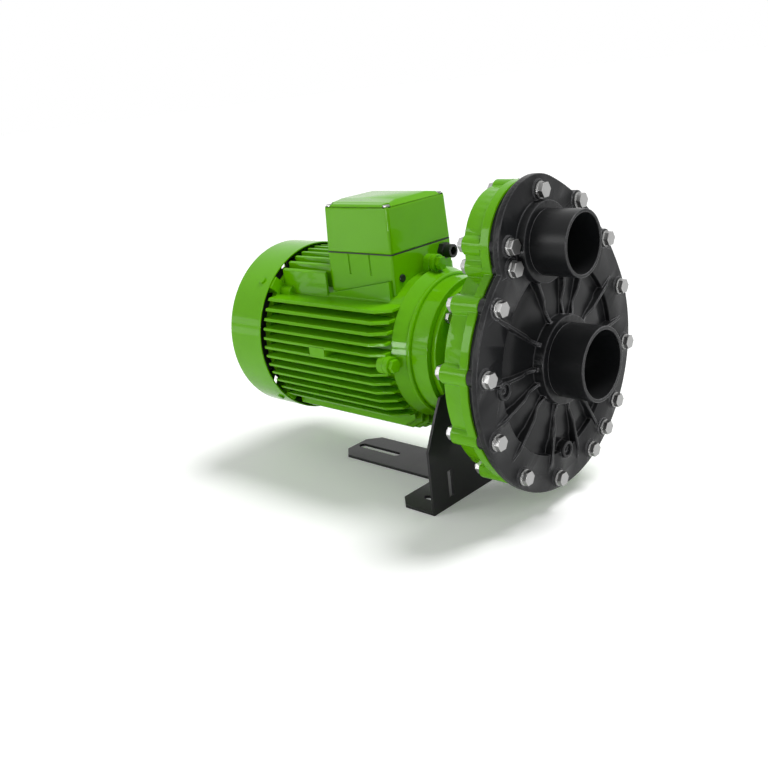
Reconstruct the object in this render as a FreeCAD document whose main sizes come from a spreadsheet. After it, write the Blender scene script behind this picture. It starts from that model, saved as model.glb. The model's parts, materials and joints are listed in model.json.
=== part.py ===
import FreeCAD, Part
import math
import os
import re
import Sketcher

V = FreeCAD.Vector
ALONG_SHAFT = V(1, 0, 0)
DIAGONAL = 45
QUARTERS = 4  # screws and bosses that stand four round a ring

# Frame: +X along the shaft out of the suction mouth, +Z up, origin on the floor midway
# between the two front anchor slots of the foot. Lengths in millimetres, angles in degrees.
doc = FreeCAD.newDocument("swim_pump")

# Driving dimensions, each written once
DRIVING = {
    "shaft_height": 190,      # shaft axis above the floor
    "mouth_reach": 212,       # suction mouth ahead of the anchor slots
    # front casing
    "case_radius": 164, "lobe_radius": 76, "flank_radius": 300,
    "lobe_left": 32, "lobe_up": 147,
    "stub_reach": 55,         # stubs stand this far out of the bolt bosses
    "suction_radius": 45, "suction_wall": 4.5,
    "outlet_radius": 37.5, "outlet_wall": 4, "outlet_left": 30, "outlet_up": 147.5,
    "collar_step": 9, "collar_rise": 11, "stub_fit": 1,
    "boss_rise": 2, "rim_thick": 8, "front_depth": 10, "front_step": 8,
    "roof_wall": 12, "hollow_inset": 33,
    "cone_radius": 108, "cone_step": 2.5, "cone_rise": 1.5, "cone_sink": 7, "ring_step": 10,
    "rib_thick": 4, "rib_rise": 3.5, "rib_dip": 4, "rib_edge": 21, "rib_slope": 16,
    # casing bolts
    "bolt_edge": 14.5, "ring_first": 22, "ring_step_angle": 30, "extra_bolt_angle": 53.5,
    "lobe_bolt_edge": 18, "flank_bolt_inset": 6,
    "bolt_radius": 5, "bolt_slack": 0.5, "bolt_across": 16, "bolt_head": 6.4,
    "bolt_flange": 2, "bolt_flange_radius": 9.8, "nut_height": 8, "bolt_spare": 3, "boss_radius": 11.8,
    # vent and drain plugs
    "plug_radius": 7, "plug_wall": 4, "plug_boss_rise": 4, "plug_sink": 2, "plug_height": 3,
    "plug_socket": 6, "plug_ring": 118, "drain_angle": -90, "vent_angle": 181,
    # rear casing
    "rear_inset": 6, "rear_flange": 12, "body_inset": 12, "lug_depth": 38, "lug_radius": 12.2,
    "rear_step": 13, "rear_wall": 7, "seal_groove": 3.5, "groove_depth": 3.5, "groove_inset": 29.5,
    "step_inset": 28,
    "hub_radius": 36, "hub_reach": 10, "throat_radius": 17, "pad_ring": 88, "pad_thick": 7,
    # lantern
    "lantern_reach": 56, "lantern_flange": 8, "lantern_ring": 84, "neck_radius": 66,
    "neck_wall": 7, "window_half": 24, "window_margin": 6, "lantern_screw_ring": 79,
    # flange screws
    "screw_radius": 4, "screw_slack": 0.4, "screw_across": 13, "screw_head": 5.5,
    "flange_screw_ring": 75,
    # foot
    "foot_gauge": 4, "foot_half": 119, "foot_shoulder": 87, "foot_taper_half": 95,
    "foot_taper_up": 135, "foot_top_half": 86, "foot_top_up": 150, "foot_arch_gap": 1.5,
    "relief_y": 82, "relief_width": 9, "relief_top": 49,
    "strip_back": 33, "strip_corner": 18, "anchor_y": 87, "anchor_width": 9, "anchor_length": 18,
    "tongue_half": 38, "tongue_back": 220, "tongue_corner": 18,
    "tail_slot_width": 11.5, "tail_slot_length": 80, "tail_slot_back": 173,
    # impeller and its drive
    "impeller_radius": 76, "impeller_gap": 17, "shroud_thick": 3.5, "outlet_width": 20,
    "eye_radius": 38, "eye_wall": 3, "eye_reach": 17, "blade_count": 6, "blade_thick": 4,
    "blade_curve": 62, "hub_wall": 8, "run_gap": 0.3,
    "nose_nut_across": 24, "nose_nut_height": 15, "nose_nut_round": 4,
    "key_width": 5, "key_length": 22, "key_margin": 0.5,
    # shaft
    "drive_radius": 12, "thread_radius": 8, "thread_length": 14, "lip_radius": 15,
    "drive_length": 78, "core_seat_radius": 19, "tail_radius": 12.5, "fan_seat_radius": 12,
    "shaft_clear": 2.5,
    # mechanical seal and slinger
    "seat_radius": 24, "seat_length": 9, "head_radius": 20, "head_length": 6, "bellows_folds": 2,
    "bellows_wall": 1.5, "slinger_radius": 26, "slinger_thick": 6, "slinger_gap": 12,
    # bearings
    "drive_bearing_outer": 36, "drive_bearing_width": 19, "drive_ball": 6,
    "tail_bearing_outer": 26, "tail_bearing_width": 15, "tail_ball": 4, "wave_thick": 1.5,
    "ball_gap": 0.15, "race_share": 0.45, "race_bed": 0.95, "race_flat": 0.35, "race_slope": 0.85,
    # drive end shield
    "flange_depth": 27, "flange_rim": 91, "bead_radius": 93, "bead_width": 4, "shield_reach": 25,
    "drum_radius": 100, "spigot": 5, "spigot_wall": 4, "web_thick": 12, "bearing_wall": 9,
    "pilot_reach": 4, "lip_seal_radius": 20.5, "lip_seal_width": 7,
    "shield_lug_ring": 107, "shield_lug_radius": 11.5, "shield_lug_depth": 8, "stay_radius": 5,
    # motor housing
    "frame_length": 225, "stator_radius": 88, "frame_wall": 7, "fin_radius": 120, "fin_pitch": 13,
    "fin_thick": 4, "side_fin_low": 78, "side_fin_count": 12, "top_fin_side": 65, "top_fin_count": 11,
    "fin_ramp": 20, "fin_ramp_in": 11, "boss_depth": 10,
    "side_pad_back": 146, "side_pad_half": 15, "side_pad_slope": 7,
    "box_length": 118, "box_setback": 18, "box_half": 59, "saddle_half": 65, "saddle_low": 60,
    "saddle_back": 72, "saddle_front": 95, "fin_gap": 2,
    # electrical active parts
    "core_length": 130, "core_inset": 48, "air_gap": 0.6, "rotor_radius": 51.4,
    "winding_length": 28, "winding_inner": 57, "winding_outer": 82,
    "end_ring_length": 9, "end_ring_inner": 33, "end_ring_outer": 47,
    # rear shield, fan and cowl
    "tail_shield_radius": 108, "tail_plate": 10, "tail_web": 4, "tail_hub": 36,
    "tail_screw_ring": 97, "tail_screw_radius": 3, "tail_screw_across": 10, "tail_screw_head": 4,
    "tail_boss_radius": 9, "tail_boss_depth": 20,
    "cowl_gap": 3, "cowl_length": 77, "cowl_radius": 124, "cowl_gauge": 2, "cowl_bend": 12,
    "vent_width": 7, "vent_length": 23, "vent_rings": 3, "vent_count": 12, "vent_start": 24, "vent_step": 28,
    "fan_radius": 100, "fan_disc": 2.5, "fan_width": 34, "fan_blades": 9, "fan_hub": 24,
    "fan_lead": 12, "cowl_screw_radius": 2.5, "cowl_tab_width": 18, "cowl_tab_length": 34,
    "cowl_tab_sink": 3, "cowl_screw_back": 21, "cowl_screw_head": 5, "cowl_screw_rise": 2.5,
    # terminal box
    "box_joint": 127, "box_wall": 5, "wires_side": 36, "wires_radius": 10,
    "side_groove": 19, "groove_width": 3, "groove_sink": 1.5,
    "lid_height": 62, "lid_crown": 4, "lid_lean": 2, "lid_round": 4, "crown_half": 30,
    "gasket_thick": 1.5, "lid_screw_in": 8, "lid_screw_radius": 2.5, "lid_screw_head": 4.5,
    "lid_sink": 4, "lid_corner": 13, "lid_pillar": 6,
    "gland_side": 40, "gland_up": 114, "gland_radius": 10, "gland_bore": 5.5, "gland_wall": 2,
    "gland_proud": 19, "gland_nut": 8,
    "plug_side": 44, "plug_up": 95.5, "entry_plug_radius": 5, "entry_plug_proud": 2,
    "board_length": 62, "board_width": 44, "board_thick": 8, "stud_radius": 2.5, "stud_length": 26,
    "stud_pitch": 19, "stud_row": 12, "link_width": 9, "link_thick": 1.5,
    "earth_radius": 3, "earth_side": 36,
}

# Directions of the casing ribs as they stand round the suction stub
RIB_ANGLES = (6, 31, 62, 83, 112, 146, 177, 197, 220, 254, 281, 303, 328, 347)

# Stations and places worked out from the driving dimensions
DERIVED = {
    "boss_face": "mouth_reach - stub_reach",
    "rim_face": "boss_face - boss_rise",
    "rim_back": "rim_face - rim_thick",
    "split_x": "rim_back - front_depth",
    "bolt_ring": "case_radius - bolt_edge",
    "lobe_bolt_ring": "lobe_radius - lobe_bolt_edge",
    "rib_reach": "case_radius - rib_edge",
    "roof_x": "rim_face - roof_wall",
    "cone_face": "rim_face - cone_sink",
    "cone_edge": "cone_face + cone_step",
    "cone_crest": "cone_edge + cone_rise",
    "cone_neck": "suction_radius + collar_step",
    "collar_face": "rim_face + collar_rise",
    "rib_face": "rim_face + rib_rise",
    "stub_bore": "suction_radius - suction_wall",
    "outlet_bore": "outlet_radius - outlet_wall",
    "rear_flange_back": "split_x - rear_flange",
    "lug_back": "split_x - lug_depth",
    "case_back": "lug_back - rear_step",
    "rear_floor": "case_back + rear_wall",
    "pad_face": "rear_floor + pad_thick",
    "hub_back": "case_back - hub_reach",
    "impeller_back": "rear_floor + impeller_gap",
    "seat_back": "seat_face - seat_length",
    "seat_face": "rear_floor",
    "groove_outside": "groove_inset - seal_groove / 2",
    "groove_inside": "groove_inset + seal_groove / 2",
    "neck_inner": "neck_radius - neck_wall",
    "screw_hole": "screw_radius + screw_slack",
    "lantern_step": "case_back - lantern_flange",
    "lantern_face": "case_back - lantern_reach",
    "motor_face": "lantern_face - lantern_flange",
    "plate_front": "lantern_face + foot_gauge",
    "drum_front": "motor_face - flange_depth",
    "frame_front": "drum_front - shield_reach",
    "frame_back": "frame_front - frame_length",
    "frame_outer": "stator_radius + frame_wall",
    "lug_face": "frame_front + shield_lug_depth",
    "web_back": "motor_face - web_thick",
    "impeller_front": "impeller_back + shroud_thick + outlet_width",
    "impeller_rim": "impeller_front + shroud_thick",
    "eye_inner": "eye_radius - eye_wall",
    "eye_front": "impeller_rim + eye_reach",
    "head_face": "seat_face + run_gap",
    "head_back": "head_face + head_length",
    "hub_outer": "drive_radius + hub_wall",
    "hub_front": "impeller_back + shroud_thick + outlet_width",
    "drive_front": "hub_front",
    "shaft_tip": "hub_front + thread_length",
    "lip_front": "drive_front - drive_length",
    "drive_bearing_back": "web_back - 2 * lip_seal_width - drive_bearing_width",
    "drive_bearing_front": "drive_bearing_back + drive_bearing_width",
    "lip_seal_back": "drive_bearing_front + lip_seal_width",
    "lip_seal_front": "lip_seal_back + lip_seal_width",
    "core_front": "frame_front - core_inset",
    "slinger_back": "hub_back - slinger_gap - slinger_thick",
    "box_front": "box_setback - frame_front",
    "box_back": "box_front + box_length",
    "box_middle": "0 - (box_back + box_front) / 2",
    "core_back": "core_front - core_length",
    "tail_plate_back": "frame_back - tail_plate",
    "tail_floor": "tail_plate_back + tail_web",
    "tail_bearing_back": "tail_floor + wave_thick",
    "tail_bearing_front": "tail_bearing_back + tail_bearing_width",
    "cowl_front": "frame_back - cowl_gap",
    "cowl_back": "cowl_front - cowl_length",
    "cowl_inner": "cowl_radius - cowl_gauge",
    "fan_back": "cowl_back + fan_lead",
    "fan_front": "fan_back + fan_width",
    "lid_base": "box_joint + gasket_thick",
    "lid_top": "lid_base + lid_height",
    "box_floor": "frame_outer + box_wall",
    "lid_screw_x": "(box_back - box_front) / 2 - lid_screw_in",
    "lid_screw_y": "box_half - lid_screw_in",
}

# The long arc touches the main circle and the lobe, so its centre follows from their radii
NEAR = "(flank_radius - case_radius)"
FAR = "(flank_radius - lobe_radius)"
DERIVED.update({
    "lobe_span": "sqrt(lobe_left ^ 2 + lobe_up ^ 2)",
    "flank_along": f"({NEAR} ^ 2 - {FAR} ^ 2 + lobe_span ^ 2) / (2 * lobe_span)",
    "flank_aside": f"sqrt({NEAR} ^ 2 - flank_along ^ 2)",
    "flank_y": "0 - (flank_along * lobe_left + flank_aside * lobe_up) / lobe_span",
    "flank_z": "(flank_along * lobe_up - flank_aside * lobe_left) / lobe_span",
    "flank_reach": "flank_radius - flank_bolt_inset",
})


def polar_spot(ring, angle, across="0", up="0"):
    return f"{across} + {ring} * cos({angle})", f"{up} + {ring} * sin({angle})"


def bolt_rules():
    """Places of the casing bolts in order round the outline, from right of the outlet down."""
    steps = [f"(ring_first - {step} * ring_step_angle) * 1 deg" for step in range(9)]
    steps.insert(3, "(0 - extra_bolt_angle) * 1 deg")
    ring = [polar_spot("bolt_ring", angle) for angle in steps]
    lobe = [polar_spot("lobe_bolt_ring", f"{angle} deg", "0 - lobe_left", "lobe_up")
            for angle in LOBE_BOLT_ANGLES]
    flank = [polar_spot("flank_reach", f"{angle} deg", "flank_y", "flank_z")
             for angle in FLANK_BOLT_ANGLES]
    return ring + lobe + flank


LOBE_BOLT_ANGLES = (198, 173, 85)
FLANK_BOLT_ANGLES = (54, 38)
for number, (across, up) in enumerate(bolt_rules()):
    DERIVED[f"bolt_y_{number}"] = across
    DERIVED[f"bolt_z_{number}"] = up
BOLT_COUNT = len(bolt_rules())


def write_sheets():
    """Sizes holds the plain numbers, Stations the places that follow from them."""
    sizes = doc.addObject("Spreadsheet::Sheet", "Sizes")
    for row, (name, number) in enumerate(DRIVING.items(), start=1):
        sizes.set(f"A{row}", name.replace("_", " "))
        sizes.set(f"B{row}", str(number))
        sizes.setAlias(f"B{row}", name)
    doc.recompute()
    stations = doc.addObject("Spreadsheet::Sheet", "Stations")
    for row, (name, rule) in enumerate(DERIVED.items(), start=1):
        stations.set(f"A{row}", name.replace("_", " "))
        stations.set(f"B{row}", "=" + linked(rule, own="Stations"))
        stations.setAlias(f"B{row}", name)
    doc.recompute()
    return sizes, stations


def linked(text, own=None):
    """Put the name of its sheet in front of each size in an expression."""
    def sheet_name(match):
        word = match.group()
        if word in DRIVING:
            return "Sizes." + word
        if word in DERIVED:
            return word if own == "Stations" else "Stations." + word
        return word
    return re.sub(r"[a-z][a-z0-9_]*", sheet_name, text)


sizes, stations = write_sheets()


def size(name):
    """The present value of a driving or derived size."""
    sheet = sizes if name in DRIVING else stations
    return float(sheet.get(name))


# Ways of working shared by the sub-parts
def origin_feature(body, role):
    return next(item for item in body.Origin.OriginFeatures if item.Role == role)


def new_body(label, height="shaft_height"):
    """A body whose own axes lie on the shaft axis, or on the floor with height 0."""
    body = doc.addObject("PartDesign::Body", label)
    body.Label = label
    body.setExpression("Placement.Base.z", linked(height))
    return body


def new_sketch(body, role, station="0", turn=0, about=V(0, 0, 1)):
    sketch = body.newObject("Sketcher::SketchObject", body.Label + "_sketch")
    sketch.AttachmentSupport = [(origin_feature(body, role), "")]
    sketch.MapMode = "FlatFace"
    sketch.AttachmentOffset = FreeCAD.Placement(V(), FreeCAD.Rotation(about, turn))
    sketch.setExpression(".AttachmentOffset.Base.z", linked(station))
    return sketch


def pin_down(sketch, geometry, point, across, up):
    """Hold one point of a sketch at two expressions."""
    for kind, rule in (("DistanceX", across), ("DistanceY", up)):
        number = sketch.addConstraint(Sketcher.Constraint(kind, -1, 1, geometry, point, 1.0))
        sketch.setExpression(f"Constraints[{number}]", linked(rule))


def add_polygon(sketch, corners):
    """Closed outline through corners given as pairs of expressions."""
    first = sketch.GeometryCount
    count = len(corners)
    turn = [2 * math.pi * index / count for index in range(count + 1)]
    for start, end in zip(turn, turn[1:]):
        line = Part.LineSegment(V(math.cos(start), math.sin(start)), V(math.cos(end), math.sin(end)))
        sketch.addGeometry(line, False)
    for index, (across, up) in enumerate(corners):
        following = (index + 1) % count
        sketch.addConstraint(Sketcher.Constraint("Coincident", first + index, 2, first + following, 1))
        pin_down(sketch, first + index, 1, across, up)


def add_box(sketch, left, right, low, high):
    add_polygon(sketch, [(left, low), (right, low), (right, high), (left, high)])


def add_circle(sketch, across, up, radius):
    number = sketch.addGeometry(Part.Circle(V(1, 1, 0), V(0, 0, 1), 1.0), False)
    pin_down(sketch, number, 3, across, up)
    held = sketch.addConstraint(Sketcher.Constraint("Radius", number, 1.0))
    sketch.setExpression(f"Constraints[{held}]", linked(radius))


def add_feature(body, kind, sketch, length=None, **settings):
    feature = body.newObject("PartDesign::" + kind, body.Label + "_" + kind.lower())
    feature.Profile = sketch
    if length:
        feature.setExpression("Length", linked(length))
    for name, value in settings.items():
        setattr(feature, name, value)
    return feature


def pad(body, sketch, length, **settings):
    return add_feature(body, "Pad", sketch, length, **settings)


def pocket(body, sketch, length, **settings):
    return add_feature(body, "Pocket", sketch, length, **settings)


def cut_through(body, sketch):
    return add_feature(body, "Pocket", sketch, Type="ThroughAll", SideType="Symmetric")


def turn_profile(body, corners, kind="Revolution"):
    """Spin a half section, given as station and radius pairs, about the shaft axis."""
    sketch = new_sketch(body, "XZ_Plane")
    add_polygon(sketch, corners)
    return add_feature(body, kind, sketch, ReferenceAxis=(sketch, ["H_Axis"]), Angle=360.0)


def turned(label, *profiles):
    body = new_body(label)
    for corners in profiles:
        turn_profile(body, corners)
    return body


def sleeve(back, front, inner, outer):
    """Half section of a plain ring."""
    return [(back, inner), (front, inner), (front, outer), (back, outer)]


def repeat_round(body, features, count):
    pattern = body.newObject("PartDesign::PolarPattern", body.Label + "_polar")
    pattern.Originals = features if isinstance(features, list) else [features]
    pattern.Axis = (origin_feature(body, "X_Axis"), [""])
    pattern.Angle = 360
    if isinstance(count, str):
        pattern.setExpression("Occurrences", linked(count))
    else:
        pattern.Occurrences = count
    body.Tip = pattern
    return pattern


def repeat_along(body, feature, role, count, pitch):
    pattern = body.newObject("PartDesign::LinearPattern", body.Label + "_row")
    pattern.Originals = [feature]
    pattern.Direction = (origin_feature(body, role), [""])
    pattern.Mode = "Spacing"
    pattern.setExpression("Offset", linked(pitch))
    pattern.setExpression("Occurrences", linked(count))
    body.Tip = pattern
    return pattern


def shape_node(label, shape, height="shaft_height"):
    """A node whose shape is worked out here from the same sizes."""
    node = doc.addObject("Part::Feature", label)
    node.Label = label
    node.Shape = shape
    node.setExpression("Placement.Base.z", linked(height))
    return node


def rod(radius, start, end, across=0.0, up=0.0):
    """Solid cylinder along the shaft direction."""
    return Part.makeCylinder(radius, end - start, V(start, across, up), ALONG_SHAFT)


def hex_bar(across_flats, start, end, across=0.0, up=0.0):
    reach = across_flats / math.sqrt(3)
    points = [V(start, across + reach * math.cos(math.radians(60 * k)),
                up + reach * math.sin(math.radians(60 * k))) for k in range(7)]
    return Part.Face(Part.makePolygon(points)).extrude(V(end - start, 0, 0))


def ring_spots(radius, count, first=0.0):
    turns = [math.radians(first + 360.0 * k / count) for k in range(count)]
    return [(radius * math.cos(turn), radius * math.sin(turn)) for turn in turns]


def case_outline(sketch, inset="0"):
    """Main circle, long flank and outlet lobe, all moved in by one inset."""
    first = sketch.GeometryCount
    set_in = size(inset) if inset != "0" else 0.0
    main, lobe, flank = (size(name) - set_in for name in ("case_radius", "lobe_radius", "flank_radius"))
    lobe_centre = V(-size("lobe_left"), size("lobe_up"), 0)
    span = lobe_centre.Length
    near, far = flank - main, flank - lobe
    along = (near ** 2 - far ** 2 + span ** 2) / (2 * span)
    aside = math.sqrt(near ** 2 - along ** 2)
    unit = lobe_centre / span
    centre = V(unit.x * along - unit.y * aside, unit.y * along + unit.x * aside, 0)
    notch_along = (main ** 2 - lobe ** 2 + span ** 2) / (2 * span)
    notch_aside = math.sqrt(main ** 2 - notch_along ** 2)
    notch = V(unit.x * notch_along - unit.y * notch_aside, unit.y * notch_along + unit.x * notch_aside, 0)
    joint_low = -centre / near * main
    joint_high = lobe_centre + (lobe_centre - centre) / far * lobe
    for middle, radius, start, end in ((V(), main, notch, joint_low),
                                       (centre, flank, joint_low, joint_high),
                                       (lobe_centre, lobe, joint_high, notch)):
        angles = [math.atan2(point.y - middle.y, point.x - middle.x) for point in (start, end)]
        if angles[1] < angles[0]:
            angles[1] += 2 * math.pi
        circle = Part.Circle(middle, V(0, 0, 1), radius)
        sketch.addGeometry(Part.ArcOfCircle(circle, angles[0], angles[1]), False)
    sketch.addConstraint(Sketcher.Constraint("Coincident", first, 3, -1, 1))
    for index, name in enumerate(("case_radius", "flank_radius", "lobe_radius")):
        held = sketch.addConstraint(Sketcher.Constraint("Radius", first + index, (main, flank, lobe)[index]))
        sketch.setExpression(f"Constraints[{held}]", linked(f"{name} - {inset}"))
    for kind, value, rule in (("DistanceX", lobe_centre.x, "0 - lobe_left"),
                              ("DistanceY", lobe_centre.y, "lobe_up")):
        held = sketch.addConstraint(Sketcher.Constraint(kind, -1, 1, first + 2, 3, value))
        sketch.setExpression(f"Constraints[{held}]", linked(rule))
    sketch.addConstraint(Sketcher.Constraint("Tangent", first, 2, first + 1, 1))
    sketch.addConstraint(Sketcher.Constraint("Tangent", first + 1, 2, first + 2, 1))
    sketch.addConstraint(Sketcher.Constraint("Coincident", first + 2, 2, first, 1))


def outline_pad(body, station, length, inset="0"):
    sketch = new_sketch(body, "YZ_Plane", station)
    case_outline(sketch, inset)
    return pad(body, sketch, length)


def outline_pocket(body, station, length, inset, **settings):
    sketch = new_sketch(body, "YZ_Plane", station)
    case_outline(sketch, inset)
    return pocket(body, sketch, length, **settings)


def boss_pads(body, station, length, radius):
    """Round bosses under the casing bolts; neighbours lie in different sketches."""
    for share in (0, 1):
        sketch = new_sketch(body, "YZ_Plane", station)
        for number in range(share, BOLT_COUNT, 2):
            add_circle(sketch, f"bolt_y_{number}", f"bolt_z_{number}", radius)
        pad(body, sketch, length)


def bolt_holes(body):
    sketch = new_sketch(body, "YZ_Plane", "split_x")
    for number in range(BOLT_COUNT):
        add_circle(sketch, f"bolt_y_{number}", f"bolt_z_{number}", "bolt_radius + bolt_slack")
    cut_through(body, sketch)


def bolt_places():
    return [(size(f"bolt_y_{number}"), size(f"bolt_z_{number}")) for number in range(BOLT_COUNT)]


# Pump casing
def front_casing():
    body = new_body("front_casing")
    outline_pad(body, "rim_back", "rim_thick")
    outline_pad(body, "split_x", "front_depth", "front_step")
    boss_pads(body, "split_x", "boss_face - split_x", "boss_radius")
    socket_bore = "suction_radius - stub_fit"
    turn_profile(body, sleeve("cone_face", "rim_face", socket_bore, "cone_radius + ring_step"), kind="Groove")
    turn_profile(body, [("roof_x", socket_bore), ("roof_x", "cone_radius"), ("cone_face", "cone_radius"),
                        ("cone_edge", "cone_radius - ring_step"), ("cone_crest", "cone_neck"),
                        ("collar_face", "cone_neck"), ("collar_face", socket_bore)])
    socket = new_sketch(body, "YZ_Plane", "rim_face")
    add_circle(socket, "0 - outlet_left", "outlet_up", "outlet_radius + collar_step")
    pad(body, socket, "collar_rise")
    for angle in RIB_ANGLES:
        rib = new_sketch(body, "XY_Plane", turn=angle, about=ALONG_SHAFT)
        add_polygon(rib, [("roof_x", "suction_radius"), ("rib_face", "suction_radius"),
                          ("rib_face", "cone_neck"),
                          ("rib_face - rib_dip", "cone_neck + rib_slope"),
                          ("rib_face", "cone_neck + 2 * rib_slope"), ("rib_face", "rib_reach - rib_slope"),
                          ("rim_face", "rib_reach"), ("roof_x", "rib_reach")])
        pad(body, rib, "rib_thick", SideType="Symmetric")
    rings = new_sketch(body, "YZ_Plane", "rim_back")
    for angle in ("drain_angle", "vent_angle"):
        add_circle(rings, *polar_spot("plug_ring", f"{angle} * 1 deg"), "plug_radius + plug_wall")
    pad(body, rings, "rim_face + plug_boss_rise - rim_back")
    outline_pocket(body, "split_x", "roof_x - split_x", "hollow_inset", Reversed=True)
    bores = new_sketch(body, "YZ_Plane", "split_x")
    add_circle(bores, "0", "0", socket_bore)
    add_circle(bores, "0 - outlet_left", "outlet_up", "outlet_radius - stub_fit")
    cut_through(body, bores)
    recesses = new_sketch(body, "YZ_Plane", "rim_face - plug_sink")
    for angle in ("drain_angle", "vent_angle"):
        add_circle(recesses, *polar_spot("plug_ring", f"{angle} * 1 deg"), "plug_radius")
    pocket(body, recesses, "plug_sink + plug_boss_rise", Reversed=True)
    bolt_holes(body)
    return body


def stubs():
    """Plain pipe ends set into the two sockets of the front casing."""
    for label, across, up, outside, inside in (
            ("suction_pipe", "0", "0", "suction_radius", "stub_bore"),
            ("outlet_pipe", "0 - outlet_left", "outlet_up", "outlet_radius", "outlet_bore")):
        body = new_body(label)
        for start, end, radius in (("roof_x", "collar_face", f"{outside} - stub_fit"),
                                   ("collar_face", "mouth_reach", outside)):
            wall = new_sketch(body, "YZ_Plane", start)
            add_circle(wall, across, up, radius)
            add_circle(wall, across, up, inside)
            pad(body, wall, f"{end} - {start}")


def rear_casing():
    body = new_body("rear_casing")
    outline_pad(body, "rear_flange_back", "rear_flange", "rear_inset")
    outline_pad(body, "lug_back", "rear_flange_back - lug_back", "body_inset")
    outline_pad(body, "case_back", "lug_back - case_back", "step_inset")
    boss_pads(body, "lug_back", "lug_depth", "lug_radius")
    outline_pocket(body, "rear_floor", "split_x - rear_floor", "hollow_inset", Reversed=True)
    turn_profile(body, sleeve("rear_floor", "pad_face", "pad_ring - 2 * hub_reach", "pad_ring"))
    turn_profile(body, sleeve("hub_back", "case_back", "throat_radius", "hub_radius"))
    turn_profile(body, sleeve("hub_back", "seat_back", "0", "throat_radius"), kind="Groove")
    turn_profile(body, sleeve("seat_back", "seat_face", "0", "seat_radius"), kind="Groove")
    groove = new_sketch(body, "YZ_Plane", "split_x - groove_depth")
    case_outline(groove, "groove_outside")
    case_outline(groove, "groove_inside")
    pocket(body, groove, "groove_depth", Reversed=True)
    screws = new_sketch(body, "YZ_Plane", "case_back")
    add_circle(screws, "lantern_screw_ring", "0", "screw_radius")
    hole = pocket(body, screws, "pad_thick + rear_wall / 2", Reversed=True)
    repeat_round(body, hole, QUARTERS)
    bolt_holes(body)
    return body


def casing_seal():
    """Cord ring in the groove between the casings."""
    body = new_body("casing_seal")
    sketch = new_sketch(body, "YZ_Plane", "split_x - groove_depth")
    case_outline(sketch, "groove_outside")
    case_outline(sketch, "groove_inside")
    pad(body, sketch, "groove_depth")
    return body


def casing_bolts():
    """Bolts from the front; the shank ends just past its nut."""
    seat = size("boss_face")
    tip = size("lug_back") - size("nut_height") - size("bolt_spare")
    solids = []
    for across, up in bolt_places():
        shank = rod(size("bolt_radius"), tip, seat, across, up)
        collar = rod(size("bolt_flange_radius"), seat, seat + size("bolt_flange"), across, up)
        head = hex_bar(size("bolt_across"), seat, seat + size("bolt_flange") + size("bolt_head"), across, up)
        solids.append(head.fuse([collar, shank]))
    return shape_node("casing_bolts", Part.makeCompound(solids))


def casing_nuts():
    face = size("lug_back")
    back = face - size("nut_height")
    solids = []
    for across, up in bolt_places():
        nut = hex_bar(size("bolt_across"), back, face, across, up)
        solids.append(nut.cut(rod(size("bolt_radius"), back, face, across, up)))
    return shape_node("casing_nuts", Part.makeCompound(solids))


def drain_plugs():
    """Vent and drain plugs with hexagon sockets, sunk in the low bosses of the front casing."""
    floor = size("rim_face") - size("plug_sink")
    top = floor + size("plug_height")
    solids = []
    for spot in plug_spots():
        plug = rod(size("plug_radius"), floor, top, *spot)
        solids.append(plug.cut(hex_bar(size("plug_socket"), (floor + top) / 2, top, *spot)))
    return shape_node("drain_plugs", Part.makeCompound(solids))


def plug_spots():
    return [ring_spots(size("plug_ring"), 1, size(angle))[0] for angle in ("drain_angle", "vent_angle")]


# Lantern between pump and motor
def lantern():
    body = turned("lantern", [
        ("case_back", "neck_inner"), ("case_back", "pad_ring"), ("lantern_step", "pad_ring"),
        ("lantern_step", "neck_radius"), ("lantern_face", "neck_radius"), ("lantern_face", "lantern_ring"),
        ("motor_face", "lantern_ring"), ("motor_face", "neck_inner")])
    for role in ("XY_Plane", "XZ_Plane"):
        windows = new_sketch(body, role)
        add_box(windows, "lantern_face + window_margin", "lantern_step - window_margin",
                "0 - window_half", "window_half")
        cut_through(body, windows)
    for station, ring, phase in (("lantern_step", "lantern_screw_ring", 0),
                                 ("motor_face", "flange_screw_ring", DIAGONAL)):
        screws = new_sketch(body, "YZ_Plane", station, phase)
        add_circle(screws, ring, "0", "screw_hole")
        repeat_round(body, pocket(body, screws, "lantern_flange", Reversed=True), QUARTERS)
    return body


def hex_screws(label, spots, seat, tip, radius, across, head, facing=1):
    """Screws along the shaft direction: head on the seat, shank down to the tip."""
    solids = []
    for side, up in spots:
        low, high = sorted((seat, tip))
        shank = rod(radius, low, high, side, up)
        low, high = sorted((seat, seat + facing * head))
        solids.append(hex_bar(across, low, high, side, up).fuse(shank))
    return shape_node(label, Part.makeCompound(solids))


def lantern_screws():
    tip = size("case_back") + size("rear_wall") / 2 + size("pad_thick") - size("foot_gauge")
    return hex_screws("lantern_screws", ring_spots(size("lantern_screw_ring"), QUARTERS),
                      size("lantern_step"), tip,
                      size("screw_radius"), size("screw_across"), size("screw_head"), facing=-1)


def flange_screws():
    """Upper pair: lantern flange to motor flange."""
    spots = [spot for spot in ring_spots(size("flange_screw_ring"), QUARTERS, DIAGONAL) if spot[1] > 0]
    return hex_screws("flange_screws", spots, size("lantern_face"), size("web_back"),
                      size("screw_radius"), size("screw_across"), size("screw_head"))


def foot_screws():
    """Lower pair: they also hold the foot plate."""
    spots = [spot for spot in ring_spots(size("flange_screw_ring"), QUARTERS, DIAGONAL) if spot[1] < 0]
    return hex_screws("foot_screws", spots, size("plate_front"), size("web_back"),
                      size("screw_radius"), size("screw_across"), size("screw_head"))


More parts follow.
